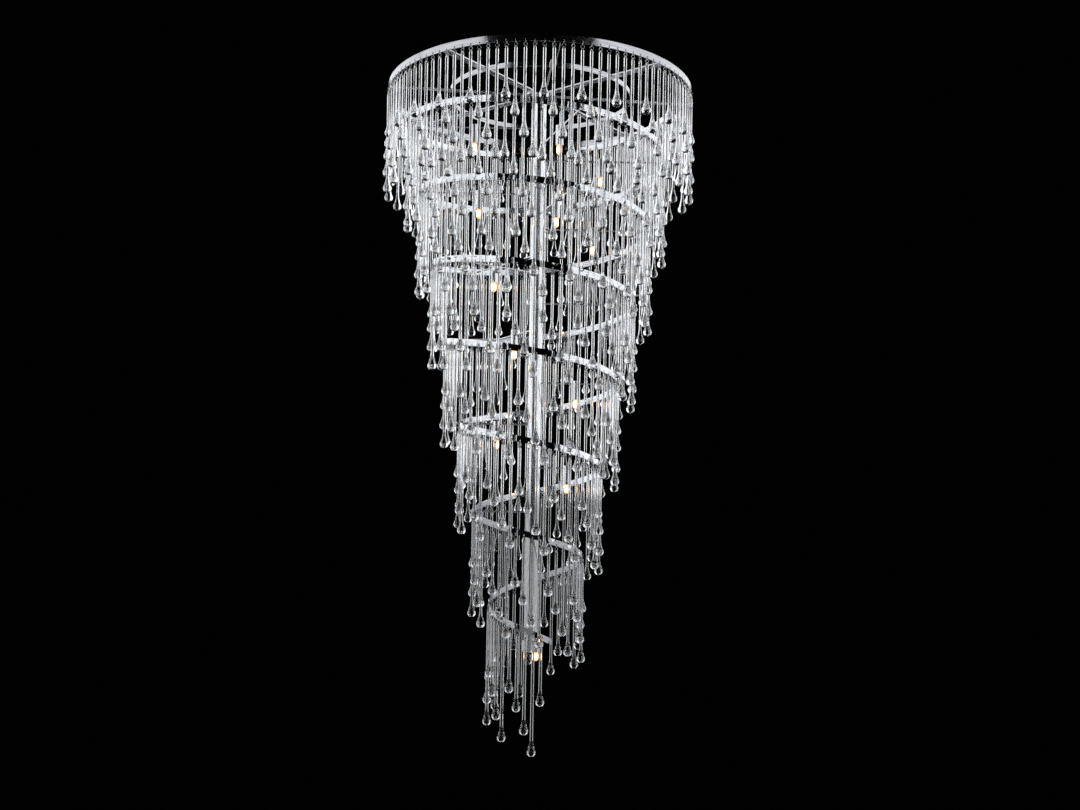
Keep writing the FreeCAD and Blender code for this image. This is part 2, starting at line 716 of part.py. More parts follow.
finish(coded("plate_fixings", [
    inward_screw(joint_screw, turns, joint_screw_height)
    for joint in band_joints for turns in joint_screw_turns(joint)]), "band_joint_screws")

# Start bracket: an angle that hangs the band's upper end under a side bar
bracket_angle = spiral_angle(bracket_turns)
bracket_wall = size("band_thickness")
bracket_down = Part.makeBox(bracket_wall, size("bracket_length"), size("bracket_leg"),
                            Vector(-bracket_wall, -size("bracket_length") / 2, -size("bracket_leg")))
bracket_flat = Part.makeBox(size("bracket_leg"), size("bracket_length"), bracket_wall,
                            Vector(-size("bracket_leg"), -size("bracket_length") / 2, -bracket_wall))
bracket_place = facing(bracket_inner, bracket_angle, bracket_top)
bracket = placed(bracket_down.fuse(bracket_flat).removeSplitter(), bracket_place)
bracket_bore = radial_rod(joint_hole, bracket_angle, spiral_height(bracket_turns),
                          bracket_inner - bracket_wall - CUT_PAST, bracket_inner + CUT_PAST)
flat_bore = rod(joint_hole, polar(flat_screw_radius, bracket_angle, bracket_top - bracket_wall - CUT_PAST),
                polar(flat_screw_radius, bracket_angle, bracket_top + CUT_PAST))
finish(coded("bracket", [bracket.cut([bracket_bore, flat_bore])]), "start_bracket")
short_screw = button_screw(size("joint_screw_diameter"), 2.5 * size("band_thickness") + size("seat_gap"),
                           size("joint_screw_head"), size("screw_head_height"))
up_screw = button_screw(size("joint_screw_diameter"), bracket_wall + size("bracket_screw_bite"),
                        size("joint_screw_head"), size("screw_head_height"))
finish(coded("bracket_fixings", [
    inward_screw(short_screw, bracket_turns, 0),
    placed(up_screw, Placement(polar(flat_screw_radius, bracket_angle, bracket_top - bracket_wall), TURN_UP)),
]), "start_bracket_screws")


# Stays: thin rods from the column out through the band, with a collar inside and a cap nut outside
def cap_nut_seat(turns):
    """The radius at which a cap nut's open face clears the band."""
    lift = size("fit_gap") + seat_lift(turns, size("cap_nut_diameter") / 2)
    return spiral_radius(turns) + size("band_thickness") / 2 + lift


def stay(turns):
    radius = spiral_radius(turns)
    angle, height = spiral_angle(turns), stay_height(turns)
    band_inner = radius - size("band_thickness") / 2
    stay_end = cap_nut_seat(turns) + size("cap_nut_length") - size("cap_nut_play")
    shaft = radial_rod(size("stay_diameter"), angle, height, column_inner - size("stay_reach_in"), stay_end)
    collar_face = band_inner - size("fit_gap") - seat_lift(turns, size("stay_collar") / 2)
    collar = radial_rod(size("stay_collar"), angle, height, collar_face - size("stay_collar_length"),
                        collar_face)
    return shaft.fuse(collar).removeSplitter()


def cap_nut():
    """A domed nut along +X with a blind bore, its open face at the origin."""
    radius, straight = size("cap_nut_diameter") / 2, size("cap_nut_length")
    dome = Part.makeSphere(radius, Vector(0, 0, straight), UP, 0, 90, 360)
    nut = Part.makeCylinder(radius, straight).fuse(dome).removeSplitter()
    nut = nut.cut(Part.makeCylinder((size("stay_diameter") + size("fit_gap")) / 2, straight))
    return placed(nut, Placement(ORIGIN, TURN_OUT))


one_cap_nut = cap_nut()
finish(coded("stays", [stay(turns) for turns in stay_places]), "stay_rods")
finish(coded("cap_nuts", [
    placed(one_cap_nut, facing(cap_nut_seat(turns), spiral_angle(turns), stay_height(turns)))
    for turns in stay_places]), "stay_cap_nuts")

# Lamps: a tube with a solid cap slides on a stay, and holds a socket and a capsule bulb
tube_radius = size("lamp_tube_diameter") / 2
tube_bore = tube_radius - size("lamp_tube_wall")
tube_top = size("lamp_tube_cap") / 2
tube_mouth = tube_top - size("lamp_tube_length")
socket_top = tube_top - size("lamp_tube_cap")
bulb_base_top = socket_top - size("bulb_base_top_gap")
bulb_bottom = tube_mouth - size("bulb_out")
slot_gap = size("seat_gap")


def lamp_tube():
    """The lamp's tube about the centre of its stay, with the stay along X."""
    tube = revolved(outline([(0, tube_top), (tube_radius, tube_top), (tube_radius, tube_mouth),
                             (tube_bore, tube_mouth), (tube_bore, socket_top), (0, socket_top)]))
    crossing = rod(stay_hole, OUT * -2 * tube_radius, OUT * 2 * tube_radius)
    return tube.cut([crossing, rod(joint_hole, ORIGIN, UP * 2 * tube_top)])


def lamp_socket():
    body = Part.makeCylinder(tube_bore - size("fit_gap"), size("lamp_socket_length"),
                             Vector(0, 0, socket_top - size("lamp_socket_length")))
    width = size("bulb_base_width") + 2 * slot_gap
    thickness = size("bulb_base_thickness") + 2 * slot_gap
    depth = size("lamp_socket_length") - (socket_top - bulb_base_top) + slot_gap
    slot = Part.makeBox(width, thickness, depth,
                        Vector(-width / 2, -thickness / 2, socket_top - size("lamp_socket_length")))
    return body.cut(slot)


def lamp_bulb():
    """A capsule with a rounded tip and a flat pinched base."""
    radius = size("bulb_diameter") / 2
    shoulder = socket_top - size("lamp_socket_length") - slot_gap
    tip = bulb_bottom + radius
    glass = Part.makeCylinder(radius, shoulder - tip, Vector(0, 0, tip))
    glass = glass.fuse(Part.makeSphere(radius, Vector(0, 0, tip), UP, -90, 0, 360))
    width, thickness = size("bulb_base_width"), size("bulb_base_thickness")
    base = Part.makeBox(width, thickness, bulb_base_top - shoulder + 1,
                        Vector(-width / 2, -thickness / 2, shoulder - 1))
    return glass.fuse(base).removeSplitter()


hanging_lamps = [facing(spiral_radius(turns) * size("lamp_place"), spiral_angle(turns), stay_height(turns))
                 for turns in lamp_places]
lamp_grub = rod(size("joint_screw_diameter"), UP * (size("stay_diameter") / 2 + size("seat_gap")),
                UP * (tube_top - size("lamp_grub_recess")))
for shape, label in ((lamp_tube(), "lamp_tubes"), (lamp_socket(), "lamp_sockets"),
                     (lamp_bulb(), "lamp_bulbs"), (lamp_grub, "lamp_grub_screws")):
    finish(coded("made_" + label, [placed(shape, place) for place in hanging_lamps]), label)

# Foot of the column: a plug whose stem carries a closed cup, held by a round nut below
cup_radius = size("cup_diameter") / 2
cup_bore = cup_radius - size("cup_wall")
neck_radius = column_inner - size("fit_gap")
neck_top = column_bottom + size("plug_neck_length")
flange_bottom = column_bottom - size("plug_flange")
cup_bottom = flange_bottom - size("cup_height")
stem_radius = size("plug_stem_diameter") / 2
cup_hole = stem_radius + size("fit_gap")
nut_radius = size("cup_nut_diameter") / 2
nut_bore = stem_radius + size("fit_gap") / 2
nut_bottom = cup_bottom - size("cup_nut_height")
stem_bottom = nut_bottom + size("stem_recess")
finish(coded("plug", [revolved(outline([
    (0, neck_top), (neck_radius, neck_top), (neck_radius, column_bottom), (cup_radius, column_bottom),
    (cup_radius, flange_bottom), (stem_radius, flange_bottom), (stem_radius, stem_bottom),
    (0, stem_bottom)]))]), "column_plug")
finish(coded("cup", [revolved(outline([
    (cup_bore, flange_bottom), (cup_radius, flange_bottom), (cup_radius, cup_bottom),
    (cup_hole, cup_bottom), (cup_hole, cup_bottom + size("cup_wall")),
    (cup_bore, cup_bottom + size("cup_wall"))]))]), "end_cup")
finish(coded("round_nut", [revolved(outline([
    (nut_bore, cup_bottom), (nut_radius, cup_bottom), (nut_radius, nut_bottom),
    (nut_bore, nut_bottom)]))]), "cup_nut")

# Wire rings and drops of the outer ring, the drops in sections that swing one by one
ring_places = [hook_place(number, ring_mean, angle, ring_hook_height)
               for number, angle in enumerate(ring_hook_angles)]
finish(coded("ring_wires", [placed(one_wire_ring, place) for place in ring_places]), "outer_wire_rings")
for section in range(RING_SECTIONS):
    first = section * DROPS_IN_SECTION
    hung = [hung_drop(drop_shapes, number, ring_places[number])
            for number in range(first, first + DROPS_IN_SECTION)]
    finish(coded("ring_section_%d" % (section + 1), hung), "outer_drops_%02d" % (section + 1))

# Wire rings and drops of the spiral, with longer drops on its last length
spiral_places = [hook_place(number, spiral_radius(turns), spiral_angle(turns),
                            spiral_height(turns) - hook_below_centre)
                 for number, turns in enumerate(spiral_hooks)]
finish(coded("spiral_wires", [placed(one_wire_ring, place) for place in spiral_places]),
       "spiral_wire_rings")
for number, (start, end) in enumerate(zip(band_ends, band_ends[1:]), start=1):
    shapes = tail_shapes if number == len(band_ends) - 1 else drop_shapes
    hung = [hung_drop(shapes, index, spiral_places[index])
            for index, turns in enumerate(spiral_hooks) if start < turns < end]
    finish(coded("spiral_section_%d" % number, hung), "spiral_drops_turn_%d" % number)

# Check every object, then write one file for each sub-part
doc.recompute()
for feature in doc.Objects:
    faults = [state for state in feature.State if state in ("Invalid", "Error")]
    if faults:
        raise RuntimeError("%s is %s" % (feature.Label, faults))
for feature in finished:
    if feature.Shape.isNull() or not feature.Shape.isValid() or not feature.Shape.Solids:
        raise RuntimeError("%s has no valid solid" % feature.Label)
os.makedirs("parts", exist_ok=True)
for feature in finished:
    feature.Shape.exportStep("parts/%s.step" % feature.Label)
print("drops on the ring %d, on the spiral %d" % (ring_drops, len(spiral_hooks)))
print("section hinge radius %.3f, height %.3f" % (
    ring_mean * (1 + math.cos(math.radians(180 / ring_drops * (DROPS_IN_SECTION - 1)))) / 2,
    ring_hook_height + drop_hole_height))
print("column foot %.2f, cup bottom %.2f, lowest drop %.2f" % (
    column_bottom, cup_bottom, min(feature.Shape.BoundBox.ZMin for feature in finished)))
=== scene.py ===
import math

import bmesh
import bpy
from mathutils import Matrix, Vector


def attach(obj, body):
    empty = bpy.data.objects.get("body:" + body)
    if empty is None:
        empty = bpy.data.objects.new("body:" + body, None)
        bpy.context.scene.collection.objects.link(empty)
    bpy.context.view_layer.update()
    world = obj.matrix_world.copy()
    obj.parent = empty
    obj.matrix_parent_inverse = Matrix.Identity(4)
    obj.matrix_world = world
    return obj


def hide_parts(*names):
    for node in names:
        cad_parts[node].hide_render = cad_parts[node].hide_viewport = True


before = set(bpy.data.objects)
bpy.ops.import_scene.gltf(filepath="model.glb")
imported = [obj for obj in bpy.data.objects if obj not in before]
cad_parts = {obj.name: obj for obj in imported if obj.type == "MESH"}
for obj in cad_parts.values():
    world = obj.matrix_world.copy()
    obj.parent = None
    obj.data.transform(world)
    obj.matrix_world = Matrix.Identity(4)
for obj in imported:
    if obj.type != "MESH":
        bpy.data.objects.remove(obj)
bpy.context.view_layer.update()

scene = bpy.context.scene
scene.view_settings.view_transform = "Standard"

# Camera: level, 3.2 m from the column and 1.14 m below the ceiling, which gives the ring and
# the band their ellipses. It leans by one degree about its own axis, and its frame is shifted
# up to take in the whole height.
LENS, SENSOR, SHIFT_UP = 40.13, 36, 0.111
CAMERA_PLACE = (0.0205, -3.2, -1.143)
CAMERA_LEAN = -1.05
camera_data = bpy.data.cameras.new("camera")
camera_data.lens = LENS
camera_data.sensor_width = SENSOR
camera_data.shift_y = SHIFT_UP
camera_data.clip_end = 50
camera = bpy.data.objects.new("camera", camera_data)
camera.location = CAMERA_PLACE
camera.rotation_euler = (math.radians(90), math.radians(CAMERA_LEAN), 0)
scene.collection.objects.link(camera)
scene.camera = camera


# Studio: a dark room. A tall soft panel stands on each side before the chandelier and one on
# each side behind it, each with a dimmer one under it, so that the light falls off downwards.
# A dim panel low behind the camera greys the front of the lowest turns.
PANEL_WIDTH = 2.7
FRONT_ASIDE, FRONT_DEPTH = 2.35, -1.05
BACK_ASIDE, BACK_DEPTH = 2.15, 1.35
LOW_PANELS = -1.8
DARK_ROOM = (0.0005, 0.0005, 0.0006, 1)


def lamp_panel(name, place, width, height, level):
    """A soft panel that faces the column, as bright as its level times white."""
    data = bpy.data.lights.new(name, "AREA")
    data.shape = "RECTANGLE"
    data.size = width
    data.size_y = height
    data.energy = level * math.pi * width * height
    panel = bpy.data.objects.new(name, data)
    panel.location = place
    panel.rotation_euler = Vector((place[0], place[1], 0)).to_track_quat("Z", "Y").to_euler()
    panel.visible_camera = False
    scene.collection.objects.link(panel)


for side, name in ((-1, "left"), (1, "right")):
    front = (side * FRONT_ASIDE, FRONT_DEPTH)
    back = (side * BACK_ASIDE, BACK_DEPTH)
    lamp_panel(name + "_panel", (*front, 0.7), PANEL_WIDTH, height=3.4, level=1.2)
    lamp_panel(name + "_low_panel", (*front, LOW_PANELS), PANEL_WIDTH, height=1.6, level=0.5)
    lamp_panel(name + "_edge_panel", (*back, 0.5), PANEL_WIDTH, height=3.0, level=1.35)
    lamp_panel(name + "_low_edge_panel", (*back, LOW_PANELS), PANEL_WIDTH, height=1.6, level=0.5)
lamp_panel("low_front_panel", (0, -3.7, -1.9), width=3.0, height=1.1, level=0.18)

world = bpy.data.worlds.new("studio")
scene.world = world
world.use_nodes = True
world.node_tree.nodes["Background"].inputs["Color"].default_value = DARK_ROOM


# Floor: a plain pale disc, painted matt with a faint unevenness. It lies so far below the
# chandelier that the front picture ends above it.
def new_finish(name, **settings):
    """A material with one Principled shader, its plain values given by socket name."""
    material = bpy.data.materials.new(name)
    material.use_nodes = True
    shader = material.node_tree.nodes["Principled BSDF"]
    for socket, value in settings.items():
        shader.inputs[socket.replace("_", " ")].default_value = value
    return material, material.node_tree.nodes, material.node_tree.links, shader


def grain(nodes, links, scale, detail=3.0, stretch=(1, 1, 1)):
    """Noise in the piece's own metres, a scale of 100 being a centimetre across."""
    place = nodes.new("ShaderNodeTexCoord")
    squeeze = nodes.new("ShaderNodeMapping")
    squeeze.inputs["Scale"].default_value = stretch
    noise = nodes.new("ShaderNodeTexNoise")
    noise.inputs["Scale"].default_value = scale
    noise.inputs["Detail"].default_value = detail
    links.new(place.outputs["Object"], squeeze.inputs["Vector"])
    links.new(squeeze.outputs["Vector"], noise.inputs["Vector"])
    return noise.outputs["Fac"]


def shades(nodes, links, source, first, second):
    """A colour between two, as the noise says."""
    ramp = nodes.new("ShaderNodeValToRGB")
    ramp.color_ramp.elements[0].position = 0.35
    ramp.color_ramp.elements[1].position = 0.65
    ramp.color_ramp.elements[0].color = (*first, 1)
    ramp.color_ramp.elements[1].color = (*second, 1)
    links.new(source, ramp.inputs["Fac"])
    return ramp.outputs["Color"]


def add_piece(name, mesh, material):
    """An object of its own for a mesh, in one material."""
    piece = bpy.data.objects.new(name, mesh)
    mesh.materials.append(material)
    scene.collection.objects.link(piece)
    return piece


FLOOR_HEIGHT = -4.5
FLOOR_RADIUS = 3.0
floor_shape = bmesh.new()
bmesh.ops.create_circle(floor_shape, cap_ends=True, segments=96, radius=FLOOR_RADIUS,
                        matrix=Matrix.Translation((0, 0, FLOOR_HEIGHT)))
floor_mesh = bpy.data.meshes.new("floor")
floor_shape.to_mesh(floor_mesh)
floor_shape.free()
floor_paint, nodes, links, shader = new_finish("floor_paint", Roughness=0.8)
links.new(shades(nodes, links, grain(nodes, links, scale=3), (0.60, 0.60, 0.60), (0.66, 0.66, 0.65)),
          shader.inputs["Base Color"])
add_piece("floor", floor_mesh, floor_paint)


# Supply lead: a round white flex that leaves the hub through a gland and reaches a connector
# under the ceiling. Its shape is the soft curve of a stiff cord held at both ends.
LEAD_DIAMETER = 0.005
LEAD_BEARING = 277
GLAND_HEIGHT = -0.015
LEAD_TURN = Matrix.Rotation(math.radians(LEAD_BEARING), 3, "Z")
LEAD_ROUTE = (
    (0.014, 0, GLAND_HEIGHT), (0.056, 0, GLAND_HEIGHT), (0.106, 0.003, -0.019),
    (0.164, 0.001, -0.023), (0.218, -0.003, -0.0225), (0.262, -0.002, -0.022),
)


def relief(nodes, links, shader, source, depth, strength):
    """Makes a noise stand up from the surface by a depth in metres."""
    bump = nodes.new("ShaderNodeBump")
    bump.inputs["Distance"].default_value = depth
    bump.inputs["Strength"].default_value = strength
    links.new(source, bump.inputs["Height"])
    links.new(bump.outputs["Normal"], shader.inputs["Normal"])


def cord_curve(name, route, diameter, material):
    """A round cord on one smooth spline through the route's points."""
    data = bpy.data.curves.new(name, "CURVE")
    data.dimensions = "3D"
    data.bevel_depth = diameter / 2
    data.bevel_resolution = 4
    data.resolution_u = 12
    data.use_fill_caps = True
    spline = data.splines.new("NURBS")
    spline.points.add(len(route) - 1)
    for point, place in zip(spline.points, route):
        point.co = (*(LEAD_TURN @ Vector(place)), 1)
    spline.order_u = 3
    spline.use_endpoint_u = True
    data.materials.append(material)
    piece = bpy.data.objects.new(name, data)
    scene.collection.objects.link(piece)
    return piece


cord_sheath, nodes, links, shader = new_finish("cord_sheath", Roughness=0.45,
                                               Specular_IOR_Level=0.4)
links.new(shades(nodes, links, grain(nodes, links, scale=60), (0.50, 0.49, 0.46), (0.62, 0.61, 0.58)),
          shader.inputs["Base Color"])
relief(nodes, links, shader, grain(nodes, links, scale=900, detail=2), depth=0.0001, strength=0.4)
lead = cord_curve("lead_flex", LEAD_ROUTE, LEAD_DIAMETER, cord_sheath)
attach(lead, "frame")

# Tails: two thin single wires that leave the connector side by side and rise to the ceiling,
# spreading a little as they go.
TAIL_DIAMETER = 0.0024
TAIL_STEPS = (
    (0.290, 0.00375, -0.002, -0.022), (0.306, 0.00435, -0.002, -0.0212),
    (0.326, 0.00575, -0.002, -0.0156), (0.344, 0.00775, -0.003, -0.0076),
    (0.352, 0.00875, -0.004, -0.0012),
)
for name, side in (("left_tail", -1), ("right_tail", 1)):
    route = [(out, side * apart + aside, height) for out, apart, aside, height in TAIL_STEPS]
    tail = cord_curve(name, route, TAIL_DIAMETER, cord_sheath)
    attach(tail, "frame")
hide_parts("lead_tails")


# Strain relief: a soft tapered sleeve moulded round the lead where it comes out of the gland,
# with grooves across it so that it can bend.
ON_AXIS = 1e-7
SMOOTH_UP_TO = 35


def lathe(outline, around, place=Matrix.Identity(4)):
    """A mesh turned about Z from radius and height pairs, then put in its place."""
    turned = bmesh.new()
    rows = []
    for radius, height in outline:
        if radius < ON_AXIS:
            rows.append([turned.verts.new((0, 0, height))] * around)
        else:
            steps = (2 * math.pi * step / around for step in range(around))
            rows.append([turned.verts.new((radius * math.cos(a), radius * math.sin(a), height))
                         for a in steps])
    for upper, lower in zip(rows, rows[1:]):
        for step in range(around):
            beside = (step + 1) % around
            corners = list(dict.fromkeys((upper[step], lower[step], lower[beside], upper[beside])))
            if len(corners) > 2:
                turned.faces.new(corners)
    bmesh.ops.recalc_face_normals(turned, faces=turned.faces)
    turned.transform(place)
    return turned


def smooth_mesh(name, shape):
    """Writes the built shape to a mesh that is smooth up to an angle between its faces."""
    mesh = bpy.data.meshes.new(name)
    shape.to_mesh(mesh)
    shape.free()
    mesh.polygons.foreach_set("use_smooth", [True] * len(mesh.polygons))
    mesh.set_sharp_from_angle(angle=math.radians(SMOOTH_UP_TO))
    return mesh


SLEEVE_START, SLEEVE_END, SLEEVE_AROUND = 0.0312, 0.0562, 32
SLEEVE_BORE, SLEEVE_RADIUS, SLEEVE_TIP, SLEEVE_TAPER = 0.00256, 0.0047, 0.0030, 0.0017
GROOVES, GROOVE_DEPTH, GROOVE_SLOPE, GROOVE_WIDTH = 7, 0.0007, 0.0003, 0.0012
GROOVE_LIP, FIRST_GROOVE = 0.0001, 0.6
sleeve_outline = [(SLEEVE_BORE, SLEEVE_START), (SLEEVE_RADIUS, SLEEVE_START)]
groove_pitch = (SLEEVE_END - SLEEVE_START) / (GROOVES + 1)
for groove in range(GROOVES):
    at = SLEEVE_START + groove_pitch * (groove + FIRST_GROOVE)
    outer = SLEEVE_RADIUS - SLEEVE_TAPER * (groove + 1) / (GROOVES + 1)
    sleeve_outline += [(outer + GROOVE_LIP, at), (outer - GROOVE_DEPTH, at + GROOVE_SLOPE),
                       (outer - GROOVE_DEPTH, at + GROOVE_WIDTH - GROOVE_SLOPE),
                       (outer, at + GROOVE_WIDTH)]
sleeve_outline += [(SLEEVE_TIP, SLEEVE_END), (SLEEVE_BORE, SLEEVE_END), (SLEEVE_BORE, SLEEVE_START)]
along_lead = (LEAD_TURN.to_4x4() @ Matrix.Translation((0, 0, GLAND_HEIGHT))
              @ Matrix.Rotation(math.radians(90), 4, "Y"))
relief_sleeve = add_piece("strain_relief", smooth_mesh(
    "strain_relief", lathe(sleeve_outline, SLEEVE_AROUND, along_lead)), cord_sheath)
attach(relief_sleeve, "frame")

# Connector: a moulded two-pole block in which the lead ends and the tails begin, with a
# clamping screw for each wire in its underside.
connector_plastic, nodes, links, shader = new_finish("connector_plastic", Roughness=0.35,
                                                     Specular_IOR_Level=0.5)
links.new(shades(nodes, links, grain(nodes, links, scale=40), (0.74, 0.73, 0.70), (0.80, 0.79, 0.77)),
          shader.inputs["Base Color"])
relief(nodes, links, shader, grain(nodes, links, scale=2500, detail=2), depth=0.00003, strength=0.5)
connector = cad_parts["lead_connector"]
connector.material_slots[0].material = connector_plastic
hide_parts("supply_lead")

# Cable gland: a turned plastic nut set in the hub's side. It closes round the lead and takes
# the pull off the wires inside.
gland_plastic, nodes, links, shader = new_finish("gland_plastic", Roughness=0.4)
links.new(shades(nodes, links, grain(nodes, links, scale=120), (0.52, 0.51, 0.49), (0.60, 0.59, 0.57)),
          shader.inputs["Base Color"])
relief(nodes, links, shader, grain(nodes, links, scale=1500, detail=2), depth=0.00005, strength=0.5)
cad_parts["cable_gland"].material_slots[0].material = gland_plastic

# Outer ring: a steel strip rolled into a hoop, drilled along its lower edge and satin chrome
# plated over fine brushed lines that run along it, which show as light and darker streaks.
ALONG_STRIP = (0.03, 0.03, 1)


def between(nodes, links, source, low, high, start=0.3, end=0.7):
    """Spreads a noise over a range of values, keeping to its ends."""
    spread = nodes.new("ShaderNodeMapRange")
    spread.inputs["From Min"].default_value = start
    spread.inputs["From Max"].default_value = end
    spread.inputs["To Min"].default_value = low
    spread.inputs["To Max"].default_value = high
    links.new(source, spread.inputs["Value"])
    return spread.outputs["Result"]


satin_chrome, nodes, links, shader = new_finish("satin_chrome", Metallic=1.0)
links.new(shades(nodes, links, grain(nodes, links, scale=700, detail=4, stretch=ALONG_STRIP),
                 (0.36, 0.37, 0.40), (0.60, 0.61, 0.65)), shader.inputs["Base Color"])
links.new(between(nodes, links, grain(nodes, links, scale=30, detail=5), low=0.12, high=0.18),
          shader.inputs["Roughness"])
relief(nodes, links, shader, grain(nodes, links, scale=1600, detail=2, stretch=ALONG_STRIP),
       depth=0.00003, strength=0.35)
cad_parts["outer_ring"].material_slots[0].material = satin_chrome

# Cross bars and inner ring: flat steel bars bent down at their ends, and a smaller rolled hoop
# pinned under them, plated like the ring.
for name in ("long_cross_bar", "side_cross_bars", "square_cross_bars", "inner_ring"):
    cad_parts[name].material_slots[0].material = satin_chrome

# Screws and nuts: small turned steel fasteners with a duller zinc-nickel plating, which hold
# the bars, the hub, the lengths of the band, the start bracket and the lamps.
plated_steel, nodes, links, shader = new_finish("plated_steel", Metallic=1.0)
links.new(shades(nodes, links, grain(nodes, links, scale=300), (0.62, 0.62, 0.61), (0.74, 0.74, 0.73)),
          shader.inputs["Base Color"])
links.new(between(nodes, links, grain(nodes, links, scale=500, detail=4), low=0.22, high=0.38),
          shader.inputs["Roughness"])
relief(nodes, links, shader, grain(nodes, links, scale=1200, detail=2), depth=0.00004, strength=0.5)
for name in ("bar_end_nuts", "hub_screws", "hub_grub_screws", "band_joint_screws",
             "start_bracket_screws", "lamp_grub_screws"):
    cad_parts[name].material_slots[0].material = plated_steel

# Hub and column: a turned plate with a socket, and one long drawn tube set in it, which carries
# the cup on a plug. They and the bent plates of the band are plated over faint drawn lines.
tube_chrome, nodes, links, shader = new_finish("tube_chrome", Metallic=1.0)
links.new(shades(nodes, links, grain(nodes, links, scale=9), (0.74, 0.76, 0.79), (0.80, 0.82, 0.85)),
          shader.inputs["Base Color"])
links.new(between(nodes, links, grain(nodes, links, scale=60, detail=5, stretch=(1, 1, 0.04)),
                  low=0.08, high=0.18), shader.inputs["Roughness"])
relief(nodes, links, shader, grain(nodes, links, scale=30, detail=2, stretch=(1, 1, 0.1)),
       depth=0.0003, strength=0.2)
for name in ("hub", "central_column", "column_plug", "end_cup", "cup_nut", "start_bracket",
             "band_joint_plates"):
    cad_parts[name].material_slots[0].material = tube_chrome

# Spiral band: seven lengths of steel strip rolled to the spiral and screwed together end to
# end. They are drilled like the ring, and polished brighter than it.
BAND_LENGTHS = 7
chrome, nodes, links, shader = new_finish("chrome", Metallic=1.0)
links.new(shades(nodes, links, grain(nodes, links, scale=700, detail=4, stretch=ALONG_STRIP),
                 (0.62, 0.64, 0.68), (0.79, 0.81, 0.85)), shader.inputs["Base Color"])
links.new(between(nodes, links, grain(nodes, links, scale=30, detail=5), low=0.05, high=0.10),
          shader.inputs["Roughness"])
relief(nodes, links, shader, grain(nodes, links, scale=1600, detail=2, stretch=ALONG_STRIP),
       depth=0.00003, strength=0.35)
for number in range(1, BAND_LENGTHS + 1):
    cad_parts["spiral_band_turn_%d" % number].material_slots[0].material = chrome

# Stays: thin plated rods from the column to the band, with domed nuts outside it. The lamp
# tubes are threaded on them and locked by a screw each.
for name in ("stay_rods", "stay_cap_nuts", "lamp_tubes"):
    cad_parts[name].material_slots[0].material = tube_chrome

# Lamp sockets: pressed ceramic, slightly rough and off-white, pushed up into the lamp tubes,
# each with a slot for the flat base of its bulb.
ceramic, nodes, links, shader = new_finish("ceramic", Roughness=0.55)
links.new(shades(nodes, links, grain(nodes, links, scale=150), (0.70, 0.68, 0.63), (0.80, 0.78, 0.74)),
          shader.inputs["Base Color"])
relief(nodes, links, shader, grain(nodes, links, scale=1800, detail=3), depth=0.00005, strength=0.6)
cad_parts["lamp_sockets"].material_slots[0].material = ceramic


# Bulbs: glass capsules lit from inside, warm, and brightest round the filament. The top of each
# is pressed flat while hot, and this pinched base is held in the socket's slot.
START_RADIUS, STEP_IN, STEP_IN_GROWTH = 0.362, 0.0312, 0.00112
START_HEIGHT, STEP_DOWN, STEP_DOWN_GROWTH = -0.0113, 0.1615, 0.0071
SIDE_BAR_BEARING = 7
HALF_BRACKET = 0.009


def spiral_radius(turns):
    return START_RADIUS - STEP_IN * turns - STEP_IN_GROWTH * turns ** 2


def spiral_height(turns):
    return START_HEIGHT - STEP_DOWN * turns - STEP_DOWN_GROWTH * turns ** 2


def spiral_angle(turns):
    """The band starts half a bracket before the side bar."""
    return math.radians(SIDE_BAR_BEARING) - HALF_BRACKET / START_RADIUS + 2 * math.pi * turns


def upright(radius, angle, height):
    """A place at a radius and an angle about the column, its own X pointing outwards."""
    return Matrix.Rotation(angle, 4, "Z") @ Matrix.Translation((radius, 0, height))


# Where the lamps hang, in turns about the column counted from X
LAMP_BEARINGS = (0.5, 0.8, 1.0, 1.5, 1.8, 2.0, 2.6, 3.33, 3.6, 4.0, 4.5, 5.0, 6.8)
STAY_ABOVE_BAND = 0.0015
LAMP_PLACE = 0.5
GLASS_AROUND, GLASS_STEPS = 24, 12
GLASS_TOP, GLASS_FOOT, GLASS_RADIUS = -0.0228, -0.0675, 0.00675
SHOULDER_SHARE, SHOULDER_DROP = 0.9, 0.0012
PINCH_WIDTH, PINCH_THICKNESS, PINCH_TOP, PINCH_ROUNDING = 0.009, 0.004, -0.0095, 0.0008
PINCH_IN_GLASS = 0.001
FILAMENT_BELOW_STAY, GLOW_REACH = 0.055, 0.015
lamp_turns = [bearing - spiral_angle(0) / (2 * math.pi) for bearing in LAMP_BEARINGS]
tip = GLASS_FOOT + GLASS_RADIUS
capsule = [(0, GLASS_TOP), (GLASS_RADIUS * SHOULDER_SHARE, GLASS_TOP),
           (GLASS_RADIUS, GLASS_TOP - SHOULDER_DROP)]
capsule += [(GLASS_RADIUS, GLASS_TOP + (tip - GLASS_TOP) * step / GLASS_STEPS)
            for step in range(1, GLASS_STEPS)]
tip_bends = [math.radians(angle) for angle in range(0, 90, 15)]
capsule += [(GLASS_RADIUS * math.cos(bend), tip - GLASS_RADIUS * math.sin(bend))
            for bend in tip_bends]
capsule.append((0, GLASS_FOOT))


def pinched_base(place):
    """The flat end of a capsule, which reaches a little into the round glass."""
    pinch = bmesh.new()
    foot = GLASS_TOP - PINCH_IN_GLASS
    bmesh.ops.create_cube(pinch, size=1, matrix=Matrix.Translation((0, 0, (PINCH_TOP + foot) / 2))
                          @ Matrix.Diagonal((PINCH_WIDTH, PINCH_THICKNESS, PINCH_TOP - foot, 1)))
    bmesh.ops.bevel(pinch, geom=pinch.edges[:], offset=PINCH_ROUNDING, segments=2, affect="EDGES")
    pinch.transform(place)
    return pinch


